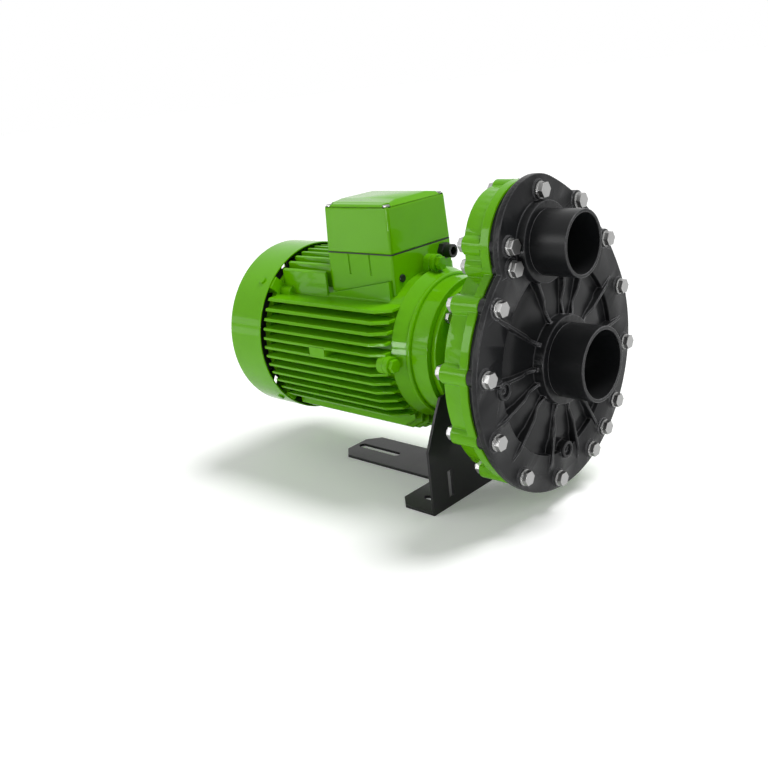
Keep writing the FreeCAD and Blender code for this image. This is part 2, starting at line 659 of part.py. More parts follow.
def add_slot(straight, rounds, across, up, length, width):
    """Round-ended slot along the first axis of two sketches: its middle in one, its ends in the other."""
    half = f"({length} - {width}) / 2"
    add_box(straight, f"{across} - {half}", f"{across} + {half}", f"{up} - {width} / 2",
            f"{up} + {width} / 2")
    for end in ("-", "+"):
        add_circle(rounds, f"{across} {end} {half}", up, f"{width} / 2")


# Foot
def foot_bracket():
    """Bent sheet: an upright yoke under the lantern, a floor strip and a tongue to the rear."""
    body = new_body("foot_bracket", height="0")
    yoke = new_sketch(body, "YZ_Plane", "lantern_face")
    add_polygon(yoke, [("0 - foot_half", "0"), ("foot_half", "0"), ("foot_half", "foot_shoulder"),
                       ("foot_taper_half", "foot_taper_up"), ("foot_top_half", "foot_top_up"),
                       ("0 - foot_top_half", "foot_top_up"), ("0 - foot_taper_half", "foot_taper_up"),
                       ("0 - foot_half", "foot_shoulder")])
    pad(body, yoke, "foot_gauge")
    floor = new_sketch(body, "XY_Plane")
    add_polygon(floor, [("plate_front", "0 - foot_half"), ("plate_front", "foot_half"),
                        ("strip_corner - strip_back", "foot_half"),
                        ("0 - strip_back", "foot_half - strip_corner"),
                        ("0 - strip_back", "tongue_half"), ("tongue_corner - tongue_back", "tongue_half"),
                        ("0 - tongue_back", "tongue_half - tongue_corner"),
                        ("0 - tongue_back", "tongue_corner - tongue_half"),
                        ("tongue_corner - tongue_back", "0 - tongue_half"),
                        ("0 - strip_back", "0 - tongue_half"),
                        ("0 - strip_back", "strip_corner - foot_half"),
                        ("strip_corner - strip_back", "0 - foot_half")])
    pad(body, floor, "foot_gauge")
    arch = new_sketch(body, "YZ_Plane", "lantern_face")
    add_circle(arch, "0", "shaft_height", "neck_radius + foot_arch_gap")
    for side in (-1, 1):
        add_box(arch, f"{side} * relief_y - relief_width / 2", f"{side} * relief_y + relief_width / 2",
                "foot_gauge + relief_width", "relief_top")
        add_circle(arch, f"{side} * flange_screw_ring * cos({DIAGONAL} deg)",
                   f"shaft_height - flange_screw_ring * sin({DIAGONAL} deg)", "screw_hole")
    pocket(body, arch, "foot_gauge", Reversed=True)
    slots = [new_sketch(body, "XY_Plane"), new_sketch(body, "XY_Plane")]
    for side in (-1, 1):
        add_slot(*slots, "0", f"{side} * anchor_y", "anchor_length", "anchor_width")
    add_slot(*slots, "0 - tail_slot_back", "0", "tail_slot_length", "tail_slot_width")
    for sketch in slots:
        pocket(body, sketch, "foot_gauge", Reversed=True)
    return body


# Impeller and what turns with it
def curved_blade():
    """One backward-curved blade: a slice of a round shell whose edges end inside hub and shrouds."""
    low = size("impeller_back") + size("shroud_thick") / 2
    high = size("impeller_rim") - size("shroud_thick") / 2
    curve, half = size("blade_curve"), size("blade_thick") / 2
    offset = curve - size("hub_outer") + half / 2
    shell = rod(curve + half, low, high, offset).cut(rod(curve - half, low, high, offset))
    reach = size("impeller_radius") - half
    span = rod(reach, low, high).cut(rod(size("hub_outer") - half, low, high))
    upper_half = Part.makeBox(high - low, 2 * reach, reach, V(low, -reach, 0))
    return shell.common(span).common(upper_half)


def half_section(corners):
    """Closed face in the plane of the shaft through station and radius pairs."""
    points = [V(station, 0, radius) for station, radius in corners]
    return Part.Face(Part.makePolygon(points + points[:1]))


def spin(corners):
    return half_section(corners).revolve(V(), ALONG_SHAFT, 360)


def tube(back, front, inner, outer):
    return rod(outer, back, front).cut(rod(inner, back, front))


def key_shape(slack=0.0):
    width = size("key_width") + slack
    start = size("hub_front") - size("key_length") + size("key_margin")
    return Part.makeBox(size("key_length") - 2 * size("key_margin"), width, size("key_width"),
                        V(start, -width / 2, size("drive_radius") - size("key_width") / 2))


def impeller():
    rim, floor = size("impeller_radius"), size("impeller_back") + size("shroud_thick")
    back_shroud = spin([(size("impeller_back"), 0), (size("impeller_back"), rim), (floor, rim),
                        (floor, size("hub_outer")), (size("hub_front"), size("hub_outer")),
                        (size("hub_front"), 0)])
    crest = size("impeller_rim") + size("shroud_thick")
    front_shroud = spin([(size("impeller_front"), rim), (size("impeller_rim"), rim),
                         (crest, size("eye_radius") + size("eye_wall")), (crest, size("eye_radius")),
                         (size("eye_front"), size("eye_radius")), (size("eye_front"), size("eye_inner")),
                         (size("impeller_rim"), size("eye_inner")),
                         (size("impeller_front"), size("eye_radius") + size("eye_wall"))])
    blade = curved_blade()
    count = int(size("blade_count"))
    blades = []
    for number in range(count):
        turned_blade = blade.copy()
        turned_blade.rotate(V(), ALONG_SHAFT, 360.0 * number / count)
        blades.append(turned_blade)
    whole = back_shroud.fuse([front_shroud] + blades)
    bore = rod(size("drive_radius"), size("impeller_back"), size("hub_front"))
    return shape_node("impeller", whole.cut([bore, key_shape()]))


def impeller_nut():
    """Cap nut with a blunt nose into the flow."""
    seat, height = size("hub_front"), size("nose_nut_height")
    across = size("nose_nut_across")
    tip = seat + height + size("nose_nut_round")
    nose = spin([(seat, 0), (seat, across / 2), (seat + height, across / 2), (tip, across / 4), (tip, 0)])
    body = hex_bar(across, seat, seat + height / 2).fuse(nose)
    thread = rod(size("thread_radius"), seat, size("shaft_tip"))
    return shape_node("impeller_nut", body.cut(thread))


def impeller_key():
    return shape_node("impeller_key", key_shape())


def pump_shaft():
    body = turned("pump_shaft", [
        ("fan_back", "0"), ("fan_back", "fan_seat_radius"), ("tail_bearing_back", "fan_seat_radius"),
        ("tail_bearing_back", "tail_radius"), ("tail_bearing_front", "tail_radius"),
        ("tail_bearing_front", "core_seat_radius"), ("drive_bearing_back", "core_seat_radius"),
        ("drive_bearing_back", "lip_radius"), ("lip_front", "lip_radius"), ("lip_front", "drive_radius"),
        ("drive_front", "drive_radius"), ("drive_front", "thread_radius"),
        ("shaft_tip", "thread_radius"), ("shaft_tip", "0")])
    keyway = new_sketch(body, "XY_Plane", "drive_radius - key_width / 2")
    add_box(keyway, "hub_front - key_length + key_margin", "hub_front - key_margin",
            "0 - key_width / 2", "key_width / 2")
    pocket(body, keyway, "key_width", Reversed=True)
    return body


def shaft_seal():
    """Mechanical seal: a seat pressed in the casing, a head and a spring that turn with the shaft."""
    turned("seal_seat", sleeve("seat_back", "seat_face", "drive_radius + shaft_clear", "seat_radius"))
    turned("seal_head", sleeve("head_face", "head_back", "drive_radius", "head_radius"))
    inside, outside = [], []
    folds = int(size("bellows_folds")) * 2
    for step in range(folds + 1):
        station = f"head_back + (impeller_back - head_back) * {step} / {folds}"
        inner = "drive_radius + bellows_wall" if step % 2 else "head_radius - 2 * bellows_wall"
        inside.append((station, inner))
        outside.append((station, f"{inner} + bellows_wall"))
    turned("seal_bellows", inside + outside[::-1])


def slinger_ring():
    return turned("slinger_ring", [
        ("slinger_back", "drive_radius"), ("slinger_back", "slinger_radius"),
        ("slinger_back + slinger_thick / 3", "slinger_radius"),
        ("slinger_back + slinger_thick", "drive_radius + slinger_thick"),
        ("slinger_back + slinger_thick", "drive_radius")])


def throat_ring():
    """Wear ring round the impeller eye."""
    return turned("throat_ring", sleeve("eye_front - 2 * eye_wall", "eye_front",
                                        "eye_radius + run_gap", "stub_bore"))


# Bearings
def bearing(name, back, front, inner, outer, ball):
    """Two grooved races; the balls and their cage between them are one eight-sided ring."""
    centre, middle = f"({back} + {front}) / 2", f"({inner} + {outer}) / 2"
    lip, bed = f"{ball} * race_share", f"({ball} * race_bed + ball_gap)"
    flat, slope = f"({ball} * race_flat)", f"({ball} * race_slope)"
    for role, edge, way in (("outer_race", outer, "+"), ("inner_race", inner, "-")):
        shoulder, floor = f"{middle} {way} {lip}", f"{middle} {way} {bed}"
        turned(f"{name}_{role}", [
            (back, edge), (back, shoulder), (f"{centre} - {slope}", shoulder), (f"{centre} - {flat}", floor),
            (f"{centre} + {flat}", floor), (f"{centre} + {slope}", shoulder), (front, shoulder),
            (front, edge)])
    crest, wide = f"({ball} * race_bed)", f"({slope} - 2 * ball_gap)"
    waist = f"({lip} - ball_gap)"
    turned(name + "_balls", [
        (f"{centre} - {wide}", f"{middle} - {waist}"), (f"{centre} - {flat}", f"{middle} - {crest}"),
        (f"{centre} + {flat}", f"{middle} - {crest}"), (f"{centre} + {wide}", f"{middle} - {waist}"),
        (f"{centre} + {wide}", f"{middle} + {waist}"), (f"{centre} + {flat}", f"{middle} + {crest}"),
        (f"{centre} - {flat}", f"{middle} + {crest}"), (f"{centre} - {wide}", f"{middle} + {waist}")])


def bearings():
    bearing("drive_bearing", "drive_bearing_back", "drive_bearing_front", "lip_radius",
            "drive_bearing_outer", "drive_ball")
    bearing("tail_bearing", "tail_bearing_back", "tail_bearing_front", "tail_radius",
            "tail_bearing_outer", "tail_ball")
    turned("wave_washer", sleeve("tail_floor", "tail_bearing_back",
                                 "tail_bearing_outer - 2 * shaft_clear", "tail_bearing_outer"))


# Motor
def drive_end_shield():
    body = turned("drive_end_shield", [
        ("motor_face + pilot_reach", "lip_radius + shaft_clear"), ("motor_face + pilot_reach", "neck_inner"),
        ("motor_face", "neck_inner"), ("motor_face", "flange_rim"), ("drum_front", "flange_rim"),
        ("drum_front", "bead_radius"), ("drum_front - bead_width", "bead_radius"),
        ("drum_front - bead_width", "flange_rim"), ("frame_front", "drum_radius"),
        ("frame_front", "stator_radius"), ("frame_front - spigot", "stator_radius"),
        ("frame_front - spigot", "stator_radius - spigot_wall"), ("web_back", "stator_radius - spigot_wall"),
        ("web_back", "drive_bearing_outer + bearing_wall"),
        ("drive_bearing_back", "drive_bearing_outer + bearing_wall"),
        ("drive_bearing_back", "drive_bearing_outer"), ("drive_bearing_front", "drive_bearing_outer"),
        ("drive_bearing_front", "drive_bearing_outer - spigot"),
        ("lip_seal_back", "drive_bearing_outer - spigot"),
        ("lip_seal_back", "lip_seal_radius"), ("lip_seal_front", "lip_seal_radius"),
        ("lip_seal_front", "lip_radius + shaft_clear")])
    lug = new_sketch(body, "YZ_Plane", "frame_front")
    add_circle(lug, "shield_lug_ring", "0", "shield_lug_radius")
    repeat_round(body, pad(body, lug, "shield_lug_depth"), QUARTERS)
    holes = new_sketch(body, "YZ_Plane", "frame_front")
    add_circle(holes, "shield_lug_ring", "0", "stay_radius + bolt_slack")
    repeat_round(body, pocket(body, holes, "shield_lug_depth", Reversed=True), QUARTERS)
    screws = new_sketch(body, "YZ_Plane", "web_back", DIAGONAL)
    add_circle(screws, "flange_screw_ring", "0", "screw_radius")
    repeat_round(body, pocket(body, screws, "web_thick", Reversed=True), QUARTERS)
    return body


def lip_seal():
    return turned("lip_seal", [
        ("lip_seal_back", "lip_radius + run_gap"), ("lip_seal_back", "lip_seal_radius"),
        ("lip_seal_front", "lip_seal_radius"), ("lip_seal_front", "lip_radius + shaft_clear")])


def shield_bolts():
    return hex_screws("shield_bolts", ring_spots(size("shield_lug_ring"), QUARTERS), size("lug_face"),
                      size("frame_front") - size("boss_depth") + size("bolt_slack"), size("stay_radius"),
                      size("bolt_across"), size("bolt_head"))


def box_seat(body):
    """Outline of the pad under the box: its top slopes down to the rear."""
    seat = new_sketch(body, "XZ_Plane")
    back, front = "0 - box_back", "0 - box_front - box_wall"
    add_polygon(seat, [(back, "saddle_low"), (front, "saddle_low"), (front, "saddle_front"),
                       (back, "saddle_back")])
    return seat


def motor_housing():
    """Barrel with upright fins above and below and level fins at the sides, all within one circle."""
    body = new_body("motor_housing")
    barrel = new_sketch(body, "YZ_Plane", "frame_back")
    add_circle(barrel, "0", "0", "frame_outer")
    pad(body, barrel, "frame_length")
    half, reach = "fin_thick / 2", "(fin_radius + fin_pitch)"
    side_fin = new_sketch(body, "YZ_Plane", "frame_back")
    add_box(side_fin, f"0 - {reach}", reach, f"0 - side_fin_low - {half}", f"{half} - side_fin_low")
    repeat_along(body, pad(body, side_fin, "frame_length"), "Z_Axis", "side_fin_count", "fin_pitch")
    top_fin = new_sketch(body, "YZ_Plane", "frame_back")
    add_box(top_fin, f"0 - top_fin_side - {half}", f"{half} - top_fin_side", f"0 - {reach}", reach)
    repeat_along(body, pad(body, top_fin, "frame_length"), "Y_Axis", "top_fin_count", "fin_pitch")
    turn_profile(body, [("frame_back", "fin_radius"), ("frame_front - fin_ramp", "fin_radius"),
                        ("frame_front", "fin_radius - fin_ramp_in"), ("frame_front", "2 * fin_radius"),
                        ("frame_back", "2 * fin_radius")], kind="Groove")
    top = new_sketch(body, "YZ_Plane", "0 - box_back - fin_gap")
    add_box(top, f"0 - {reach}", reach, f"top_fin_side + {half}", reach)
    pocket(body, top, "frame_front + box_back + fin_gap", Reversed=True)
    crown = new_sketch(body, "YZ_Plane", "0 - box_back - fin_gap")
    add_circle(crown, "0", "0", "frame_outer")
    pad(body, crown, "frame_front + box_back + fin_gap")
    pad(body, box_seat(body), "2 * saddle_half", SideType="Symmetric")
    boss = new_sketch(body, "YZ_Plane", "frame_front - boss_depth")
    add_circle(boss, "shield_lug_ring", "0", "shield_lug_radius")
    boss_root = new_sketch(body, "YZ_Plane", "frame_front - boss_depth")
    add_box(boss_root, "stator_radius", "shield_lug_ring", "0 - shield_lug_radius", "shield_lug_radius")
    repeat_round(body, [pad(body, boss, "boss_depth"), pad(body, boss_root, "boss_depth")], QUARTERS)
    tail_boss = new_sketch(body, "YZ_Plane", "frame_back", DIAGONAL)
    add_circle(tail_boss, "tail_screw_ring", "0", "tail_boss_radius")
    repeat_round(body, pad(body, tail_boss, "tail_boss_depth"), QUARTERS)
    side_pad = new_sketch(body, "XY_Plane")
    wide = "(side_pad_half + side_pad_slope)"
    add_polygon(side_pad, [(f"0 - side_pad_back - {wide}", "0 - frame_outer + frame_wall / 2"),
                           ("0 - side_pad_back - side_pad_half", "0 - fin_radius"),
                           ("side_pad_half - side_pad_back", "0 - fin_radius"),
                           (f"{wide} - side_pad_back", "0 - frame_outer + frame_wall / 2")])
    pad(body, side_pad, "fin_pitch")
    bore = new_sketch(body, "YZ_Plane", "frame_back")
    add_circle(bore, "0", "0", "stator_radius")
    cut_through(body, bore)
    wires = new_sketch(body, "XY_Plane", "saddle_low")
    add_circle(wires, "box_middle", "wires_side", "wires_radius")
    pocket(body, wires, "box_joint - saddle_low", Reversed=True)
    for station, ring, radius, phase, towards in (
            ("frame_front", "shield_lug_ring", "stay_radius", 0, False),
            ("frame_back", "tail_screw_ring", "tail_screw_radius", DIAGONAL, True)):
        holes = new_sketch(body, "YZ_Plane", station, phase)
        add_circle(holes, ring, "0", radius)
        repeat_round(body, pocket(body, holes, "boss_depth", Reversed=towards), QUARTERS)
    return body


def active_parts():
    turned("stator_core", sleeve("core_back", "core_front", "rotor_radius + air_gap", "stator_radius"))
    turned("stator_windings", sleeve("core_front", "core_front + winding_length", "winding_inner",
                                     "winding_outer"),
           sleeve("core_back - winding_length", "core_back", "winding_inner", "winding_outer"))
    turned("rotor_core", sleeve("core_back", "core_front", "core_seat_radius", "rotor_radius"))
    turned("rotor_end_rings", sleeve("core_front", "core_front + end_ring_length", "end_ring_inner",
                                     "end_ring_outer"),
           sleeve("core_back - end_ring_length", "core_back", "end_ring_inner", "end_ring_outer"))


def tail_shield():
    body = turned("tail_shield", [
        ("frame_back + spigot", "stator_radius - spigot_wall"), ("frame_back + spigot", "stator_radius"),
        ("frame_back", "stator_radius"), ("frame_back", "tail_shield_radius"),
        ("tail_plate_back", "tail_shield_radius"), ("tail_plate_back", "fan_seat_radius + shaft_clear"),
        ("tail_floor", "fan_seat_radius + shaft_clear"), ("tail_floor", "tail_bearing_outer"),
        ("tail_bearing_front", "tail_bearing_outer"), ("tail_bearing_front", "tail_hub"),
        ("frame_back", "tail_hub"), ("frame_back", "stator_radius - spigot_wall")])
    tab = new_sketch(body, "YZ_Plane", "frame_back - cowl_tab_length", DIAGONAL)
    add_box(tab, "tail_shield_radius - cowl_tab_sink", "sqrt(cowl_inner ^ 2 - (cowl_tab_width / 2) ^ 2)",
            "0 - cowl_tab_width / 2", "cowl_tab_width / 2")
    repeat_round(body, pad(body, tab, "cowl_tab_length"), QUARTERS)
    screws = new_sketch(body, "YZ_Plane", "frame_back", DIAGONAL)
    add_circle(screws, "tail_screw_ring", "0", "tail_screw_radius + screw_slack")
    repeat_round(body, pocket(body, screws, "tail_plate"), QUARTERS)
    threads = new_sketch(body, "XY_Plane", turn=DIAGONAL, about=ALONG_SHAFT)
    add_circle(threads, "frame_back - cowl_screw_back", "0", "cowl_screw_radius")
    repeat_round(body, pocket(body, threads, "cowl_radius", Reversed=True), QUARTERS)
    return body


def tail_screws():
    return hex_screws("tail_screws", ring_spots(size("tail_screw_ring"), QUARTERS, DIAGONAL),
                      size("tail_plate_back"),
                      size("frame_back") + size("boss_depth"), size("tail_screw_radius"),
                      size("tail_screw_across"), size("tail_screw_head"), facing=-1)


def cooling_fan():
    body = turned("cooling_fan", sleeve("fan_back", "fan_front", "fan_seat_radius", "fan_hub"),
                  sleeve("fan_front - fan_disc", "fan_front", "fan_hub - fan_disc", "fan_radius"))
    blade = new_sketch(body, "XZ_Plane")
    add_polygon(blade, [("fan_back + fan_lead", "fan_hub - fan_disc"), ("fan_front", "fan_hub - fan_disc"),
                        ("fan_front", "fan_radius"), ("fan_back", "fan_radius"),
                        ("fan_back", "fan_radius / 2")])
    repeat_round(body, pad(body, blade, "fan_disc", SideType="Symmetric"), "fan_blades")
    return body


def fan_cowl():
    """Sheet cowl with a bevelled back edge and rings of slots in its end."""
    body = turned("fan_cowl", [
        ("cowl_front", "cowl_inner"), ("cowl_front", "cowl_radius"), ("cowl_back + cowl_bend", "cowl_radius"),
        ("cowl_back", "cowl_radius - cowl_bend"), ("cowl_back", "0"), ("cowl_back + cowl_gauge", "0"),
        ("cowl_back + cowl_gauge", "cowl_radius - cowl_bend - cowl_gauge / 2"),
        ("cowl_back + cowl_bend", "cowl_inner")])
    vents = new_sketch(body, "YZ_Plane", "cowl_back")
    for ring in range(int(size("vent_rings"))):
        inner = f"vent_start + {ring} * vent_step"
        add_box(vents, inner, f"{inner} + vent_length", "0 - vent_width / 2", "vent_width / 2")
    repeat_round(body, pocket(body, vents, "cowl_gauge", Reversed=True), "vent_count")
    screws = new_sketch(body, "XY_Plane", turn=DIAGONAL, about=ALONG_SHAFT)
    add_circle(screws, "frame_back - cowl_screw_back", "0", "cowl_screw_radius")
    repeat_round(body, pocket(body, screws, "cowl_radius + cowl_gauge", Reversed=True), QUARTERS)
    return body


def cowl_screws():
    """Four screws towards the shaft through the cowl into the tabs of the rear shield."""
    back = size("frame_back") - size("cowl_screw_back")
    outside, inside = size("cowl_radius"), size("tail_shield_radius") - size("cowl_tab_sink")
    solids = []
    for side, up in ring_spots(1, 4, DIAGONAL):
        way = V(0, side, up)
        foot = V(back, 0, 0)
        shank = Part.makeCylinder(size("cowl_screw_radius"), outside - inside, foot + way * inside, way)
        head = Part.makeCylinder(size("cowl_screw_head"), size("cowl_screw_rise"), foot + way * outside, way)
        solids.append(shank.fuse(head))
    return shape_node("cowl_screws", Part.makeCompound(solids))


# Terminal box on the motor
def box_corners(sketch, radius):
    for along in ("box_middle - lid_screw_x", "box_middle + lid_screw_x"):
        for across in ("0 - lid_screw_y", "lid_screw_y"):
            add_circle(sketch, along, across, radius)


def terminal_box():
    """Tray that follows the barrel below and is open above, with a pillar under each lid screw."""
    body = new_body("terminal_box")
    outside = new_sketch(body, "XY_Plane", "saddle_back")
    add_box(outside, "0 - box_back", "0 - box_front", "0 - box_half", "box_half")
    pad(body, outside, "box_joint - saddle_back")
    inside = new_sketch(body, "XY_Plane", "box_joint")
    add_box(inside, "box_wall - box_back", "0 - box_wall - box_front", "box_wall - box_half",
            "box_half - box_wall")
    pocket(body, inside, "box_joint - box_floor")
    pillars = new_sketch(body, "XY_Plane", "box_floor")
    box_corners(pillars, "lid_pillar")
    pad(body, pillars, "box_joint - box_floor")
    barrel = new_sketch(body, "YZ_Plane", "box_middle")
    add_circle(barrel, "0", "0", "frame_outer")
    cut_through(body, barrel)
    cut_through(body, box_seat(body))
    grooves = new_sketch(body, "XY_Plane", "box_joint")
    for side in ("1", "0 - 1"):
        for along in ("box_middle - side_groove", "box_middle + side_groove"):
            add_box(grooves, f"{along} - groove_width / 2", f"{along} + groove_width / 2",
                    f"({side}) * (box_half - groove_sink)", f"({side}) * (box_half + groove_sink)")
    pocket(body, grooves, "box_joint - box_floor")
    wires = new_sketch(body, "XY_Plane", "saddle_low")
    add_circle(wires, "box_middle", "wires_side", "wires_radius")
    pocket(body, wires, "box_joint - saddle_low", Reversed=True)
    threads = new_sketch(body, "XY_Plane", "box_joint")
    box_corners(threads, "lid_screw_radius")
    pocket(body, threads, "box_joint - box_floor")
    for across, up, radius in (("gland_side", "gland_up", "gland_radius - gland_wall"),
                               ("0 - plug_side", "plug_up", "entry_plug_radius")):
        entry = new_sketch(body, "YZ_Plane", "0 - box_front")
        add_circle(entry, across, up, radius)
        pocket(body, entry, "box_wall")
    earth = new_sketch(body, "XY_Plane", "box_floor")
    add_circle(earth, "box_middle + board_length / 2 + box_wall", "0 - earth_side", "earth_radius")
    pocket(body, earth, "box_wall")
    return body


def lid_gasket():
    body = new_body("lid_gasket")
    ring = new_sketch(body, "XY_Plane", "box_joint")
    add_box(ring, "0 - box_back", "0 - box_front", "0 - box_half", "box_half")
    add_box(ring, "box_wall - box_back", "0 - box_wall - box_front", "box_wall - box_half",
            "box_half - box_wall")
    pad(body, ring, "gasket_thick")
    lugs = new_sketch(body, "XY_Plane", "box_joint")
    box_corners(lugs, "lid_pillar")
    pad(body, lugs, "gasket_thick")
    holes = new_sketch(body, "XY_Plane", "box_joint")
    box_corners(holes, "lid_screw_radius + screw_slack")
    pocket(body, holes, "gasket_thick", Reversed=True)
    return body


def terminal_lid():
    """Deep lid with a low crown and rounded top edges; its screws are sunk in the top corners."""
    body = new_body("terminal_lid")
    section = new_sketch(body, "YZ_Plane", "0 - box_back")
    top_edge, flat_edge = "(box_half - lid_lean)", "(box_half - lid_lean - lid_round)"
    add_polygon(section, [("0 - box_half", "lid_base"), ("box_half", "lid_base"),
                          (top_edge, "lid_top - lid_round"), (flat_edge, "lid_top"),
                          ("crown_half", "lid_top + lid_crown"), ("0 - crown_half", "lid_top + lid_crown"),
                          (f"0 - {flat_edge}", "lid_top"), (f"0 - {top_edge}", "lid_top - lid_round")])
    pad(body, section, "box_back - box_front")
    for end, way in (("0 - box_back", "1"), ("0 - box_front", "0 - 1")):
        lean = new_sketch(body, "XZ_Plane")
        add_polygon(lean, [(end, "lid_base"), (f"{end} + ({way}) * lid_lean", "lid_top - lid_round"),
                           (f"{end} + ({way}) * (lid_lean + 2 * lid_round)", "lid_top + lid_crown"),
                           (end, "lid_top + lid_crown")])
        cut_through(body, lean)
    hollow = new_sketch(body, "XY_Plane", "lid_base")
    inset = "(box_wall + lid_lean)"
    back, front = f"{inset} - box_back", f"0 - box_front - {inset}"
    side, cut = f"(box_half - {inset})", "lid_corner"
    add_polygon(hollow, [(back, f"{cut} - {side}"), (f"{back} + {cut}", f"0 - {side}"),
                         (f"{front} - {cut}", f"0 - {side}"), (front, f"{cut} - {side}"),
                         (front, f"{side} - {cut}"), (f"{front} - {cut}", side),
                         (f"{back} + {cut}", side), (back, f"{side} - {cut}")])
    pocket(body, hollow, "lid_height - box_wall", Reversed=True)
    sinks = new_sketch(body, "XY_Plane", "lid_top - lid_sink")
    box_corners(sinks, "lid_screw_head")
    pocket(body, sinks, "lid_height", Reversed=True)
    holes = new_sketch(body, "XY_Plane", "lid_base")
    box_corners(holes, "lid_screw_radius + screw_slack")
    pocket(body, holes, "lid_height", Reversed=True)
    return body


def upright(radius, low, high, along, across):
    return Part.makeCylinder(radius, high - low, V(along, across, low))


def lid_screws():
    """Long screws from the top corners of the lid down into the box."""
    floor = size("lid_top") - size("lid_sink")
    solids = []
    for along in (-size("lid_screw_x"), size("lid_screw_x")):
        for across in (-size("lid_screw_y"), size("lid_screw_y")):
            spot = (size("box_middle") + along, across)
            shank = upright(size("lid_screw_radius"), size("box_floor"), floor, *spot)
            head = upright(size("lid_screw_head"), floor, size("lid_top") - size("screw_slack"), *spot)
            solids.append(shank.fuse(head))
    return shape_node("lid_screws", Part.makeCompound(solids))


def stud_spots():
    """Two rows of three terminal studs."""
    return [(size("box_middle") + column * size("stud_pitch"), row * size("stud_row"))
            for column in (-1, 0, 1) for row in (-1, 1)]


def slab(length, width, thick, along, across, low):
    return Part.makeBox(length, width, thick, V(along - length / 2, across - width / 2, low))


def terminal_parts():
    """Block, studs and links; the wires come up beside the block."""
    floor, middle = size("box_floor"), size("box_middle")
    crest = floor + size("board_thick")
    block = slab(size("board_length"), size("board_width"), size("board_thick"), middle, 0, floor)
    studs = [upright(size("stud_radius"), floor, floor + size("stud_length"), *spot) for spot in stud_spots()]
    shape_node("terminal_block", block.cut(studs))
    shape_node("terminal_studs", Part.makeCompound(studs))
    links = []
    for column in (-1, 0, 1):
        plate = slab(size("link_width"), 2 * size("stud_row") + size("link_width"), size("link_thick"),
                     middle + column * size("stud_pitch"), 0, crest)
        links.append(plate.cut(studs))
    shape_node("terminal_links", Part.makeCompound(links))


def box_fittings():
    """Cable gland and blanking plug in the front wall, earth screw in the floor."""
    face, wall = -size("box_front"), size("box_wall")
    spot = (size("gland_side"), size("gland_up"))
    neck = size("gland_radius") - size("gland_wall")
    gland = rod(neck, face - wall, face, *spot)
    gland = gland.fuse([hex_bar(2 * size("gland_radius"), face, face + size("gland_nut"), *spot),
                        rod(size("gland_radius") - 1, face + size("gland_nut"),
                            face + size("gland_proud"), *spot)])
    shape_node("cable_gland", gland.cut(rod(size("gland_bore"), face - wall, face + size("gland_proud"),
                                            *spot)))
    spot = (-size("plug_side"), size("plug_up"))
    plug = rod(size("entry_plug_radius"), face - wall, face + size("entry_plug_proud"), *spot)
    shape_node("entry_plug", plug)
    floor = size("box_floor")
    spot = (size("box_middle") + size("board_length") / 2 + wall, -size("earth_side"))
    shank = upright(size("earth_radius"), floor - wall, floor, *spot)
    head = upright(2 * size("earth_radius"), floor, floor + size("earth_radius"), *spot)
    shape_node("earth_screw", shank.fuse(head))


def check_and_export(nodes):
    """Stop on any faulty object or shape, then write one file per node."""
    doc.recompute()
    for item in doc.Objects:
        if "Invalid" in item.State or "Error" in item.State:
            raise RuntimeError(f"{item.Label}: {item.getStatusString()}")
    os.makedirs("parts", exist_ok=True)
    for node in nodes:
        if node.Shape.isNull() or not node.Shape.isValid():
            raise RuntimeError(f"{node.Label}: faulty shape")
        node.Shape.exportStep(f"parts/{node.Label}.step")
        print(node.Label, len(node.Shape.Solids))


for build in (front_casing, stubs, rear_casing, casing_seal, casing_bolts, casing_nuts, drain_plugs,
              impeller, impeller_nut, impeller_key, throat_ring, shaft_seal, slinger_ring, pump_shaft,
              lantern, lantern_screws, flange_screws, foot_screws, foot_bracket, bearings, lip_seal,
              drive_end_shield, shield_bolts, motor_housing, active_parts, tail_shield, tail_screws,
              cooling_fan, fan_cowl, cowl_screws, terminal_box, lid_gasket, terminal_lid, lid_screws,
              terminal_parts, box_fittings):
    build()
doc.recompute()
check_and_export([item for item in doc.Objects
                  if item.TypeId in ("PartDesign::Body", "Part::Feature")])
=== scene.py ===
import json
import math

import bmesh
import bpy
import numpy as np
from mathutils import Matrix, Vector


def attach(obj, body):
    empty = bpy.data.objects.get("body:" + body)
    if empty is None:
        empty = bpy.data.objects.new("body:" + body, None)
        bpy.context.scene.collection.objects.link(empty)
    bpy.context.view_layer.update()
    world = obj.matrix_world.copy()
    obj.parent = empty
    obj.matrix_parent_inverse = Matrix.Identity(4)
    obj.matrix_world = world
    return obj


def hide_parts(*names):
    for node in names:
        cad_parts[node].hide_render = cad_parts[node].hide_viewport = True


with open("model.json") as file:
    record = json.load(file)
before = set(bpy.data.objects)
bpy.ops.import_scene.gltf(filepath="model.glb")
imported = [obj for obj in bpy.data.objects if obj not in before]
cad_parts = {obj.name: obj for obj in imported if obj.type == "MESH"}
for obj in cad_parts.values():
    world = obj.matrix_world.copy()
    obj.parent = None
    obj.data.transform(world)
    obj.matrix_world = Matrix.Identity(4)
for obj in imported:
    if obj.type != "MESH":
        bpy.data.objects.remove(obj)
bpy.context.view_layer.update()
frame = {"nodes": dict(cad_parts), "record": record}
record = frame["record"]
slotOf = {part["node"]: part["material_slot"] for part in record["subparts"]}
bodyOf = {node: body for body, nodes in record["behaviour"]["bodies"].items() for node in nodes}
millimetre = 0.001
print("frame loaded")


def newObject(name, data):
    # an object for a mesh, a lamp or the camera, linked to the scene
    made = bpy.data.objects.new(name, data)
    bpy.context.scene.collection.objects.link(made)
    return made


# camera: the photograph's place and turn about the object
cameraSet = {"place": (0.7375, -0.8863, 0.5342), "azimuth": 44.95, "elevation": 18.62,
             "roll": 6.73, "lens": 42.83, "sensor": 36.0}


